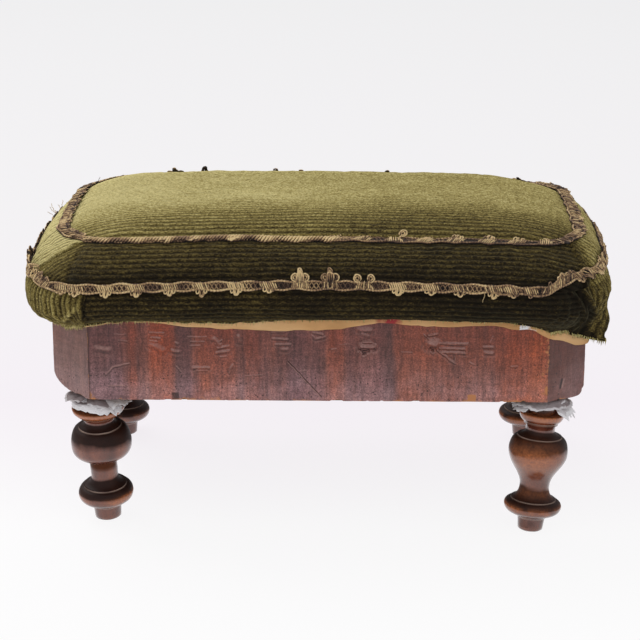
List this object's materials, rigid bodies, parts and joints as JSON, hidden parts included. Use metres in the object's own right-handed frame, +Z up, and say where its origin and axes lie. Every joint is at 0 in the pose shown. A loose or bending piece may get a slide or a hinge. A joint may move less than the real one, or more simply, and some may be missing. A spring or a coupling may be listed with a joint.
{
  "type": "footstool",
  "caption": "Upholstered footstool: a stuffed ribbed velvet cushion with gimp braid on a veneered box with cut corners and turned legs.",
  "frame": {"origin": "on the floor, under the middle of the stool's bounding box", "axes": "+X along the stool's length towards its right end, -Y out of its front, +Z up"},
  "size_m": [0.4214, 0.2702, 0.2275],
  "materials": {
    "pine": "bare planed softwood",
    "veneer": "worn satin polish",
    "leg": "glossy shellac",
    "paper": "torn and crumpled",
    "jute": "coarse woven strap",
    "hessian": "coarse open weave",
    "horsehair": "matted curled hair",
    "calico": "plain weave, aged",
    "velvet": "ribbed pile, faded on top",
    "gimp": "braided silk and cotton, worn",
    "tack": "blued and dull"
  },
  "bodies": {
    "root": {"front_rail": "pine", "back_rail": "pine", "left_rail": "pine", "right_rail": "pine", "corner_block_front_left": "pine", "corner_block_front_right": "pine", "corner_block_back_left": "pine", "corner_block_back_right": "pine", "veneer_front": "veneer", "veneer_back": "veneer", "veneer_left": "veneer", "veneer_right": "veneer", "veneer_cant_front_left": "veneer", "veneer_cant_front_right": "veneer", "veneer_cant_back_left": "veneer", "veneer_cant_back_right": "veneer", "leg_front_left": "leg", "leg_front_right": "leg", "leg_back_left": "leg", "leg_back_right": "leg", "paper_collar_front_left": "paper", "paper_collar_front_right": "paper", "paper_collar_back_left": "paper", "paper_collar_back_right": "paper", "webbing_long_1": "jute", "webbing_long_2": "jute", "webbing_short_1": "jute", "webbing_short_2": "jute", "webbing_short_3": "jute", "webbing_tack_01": "tack", "webbing_tack_02": "tack", "webbing_tack_03": "tack", "webbing_tack_04": "tack", "webbing_tack_05": "tack", "webbing_tack_06": "tack", "webbing_tack_07": "tack", "webbing_tack_08": "tack", "webbing_tack_09": "tack", "webbing_tack_10": "tack", "webbing_tack_11": "tack", "webbing_tack_12": "tack", "webbing_tack_13": "tack", "webbing_tack_14": "tack", "webbing_tack_15": "tack", "webbing_tack_16": "tack", "webbing_tack_17": "tack", "webbing_tack_18": "tack", "webbing_tack_19": "tack", "webbing_tack_20": "tack", "hessian": "hessian", "stuffing": "horsehair", "calico_undercover": "calico", "velvet_cover": "velvet", "upper_gimp": "gimp", "lower_gimp": "gimp"}
  },
  "joints": []
}
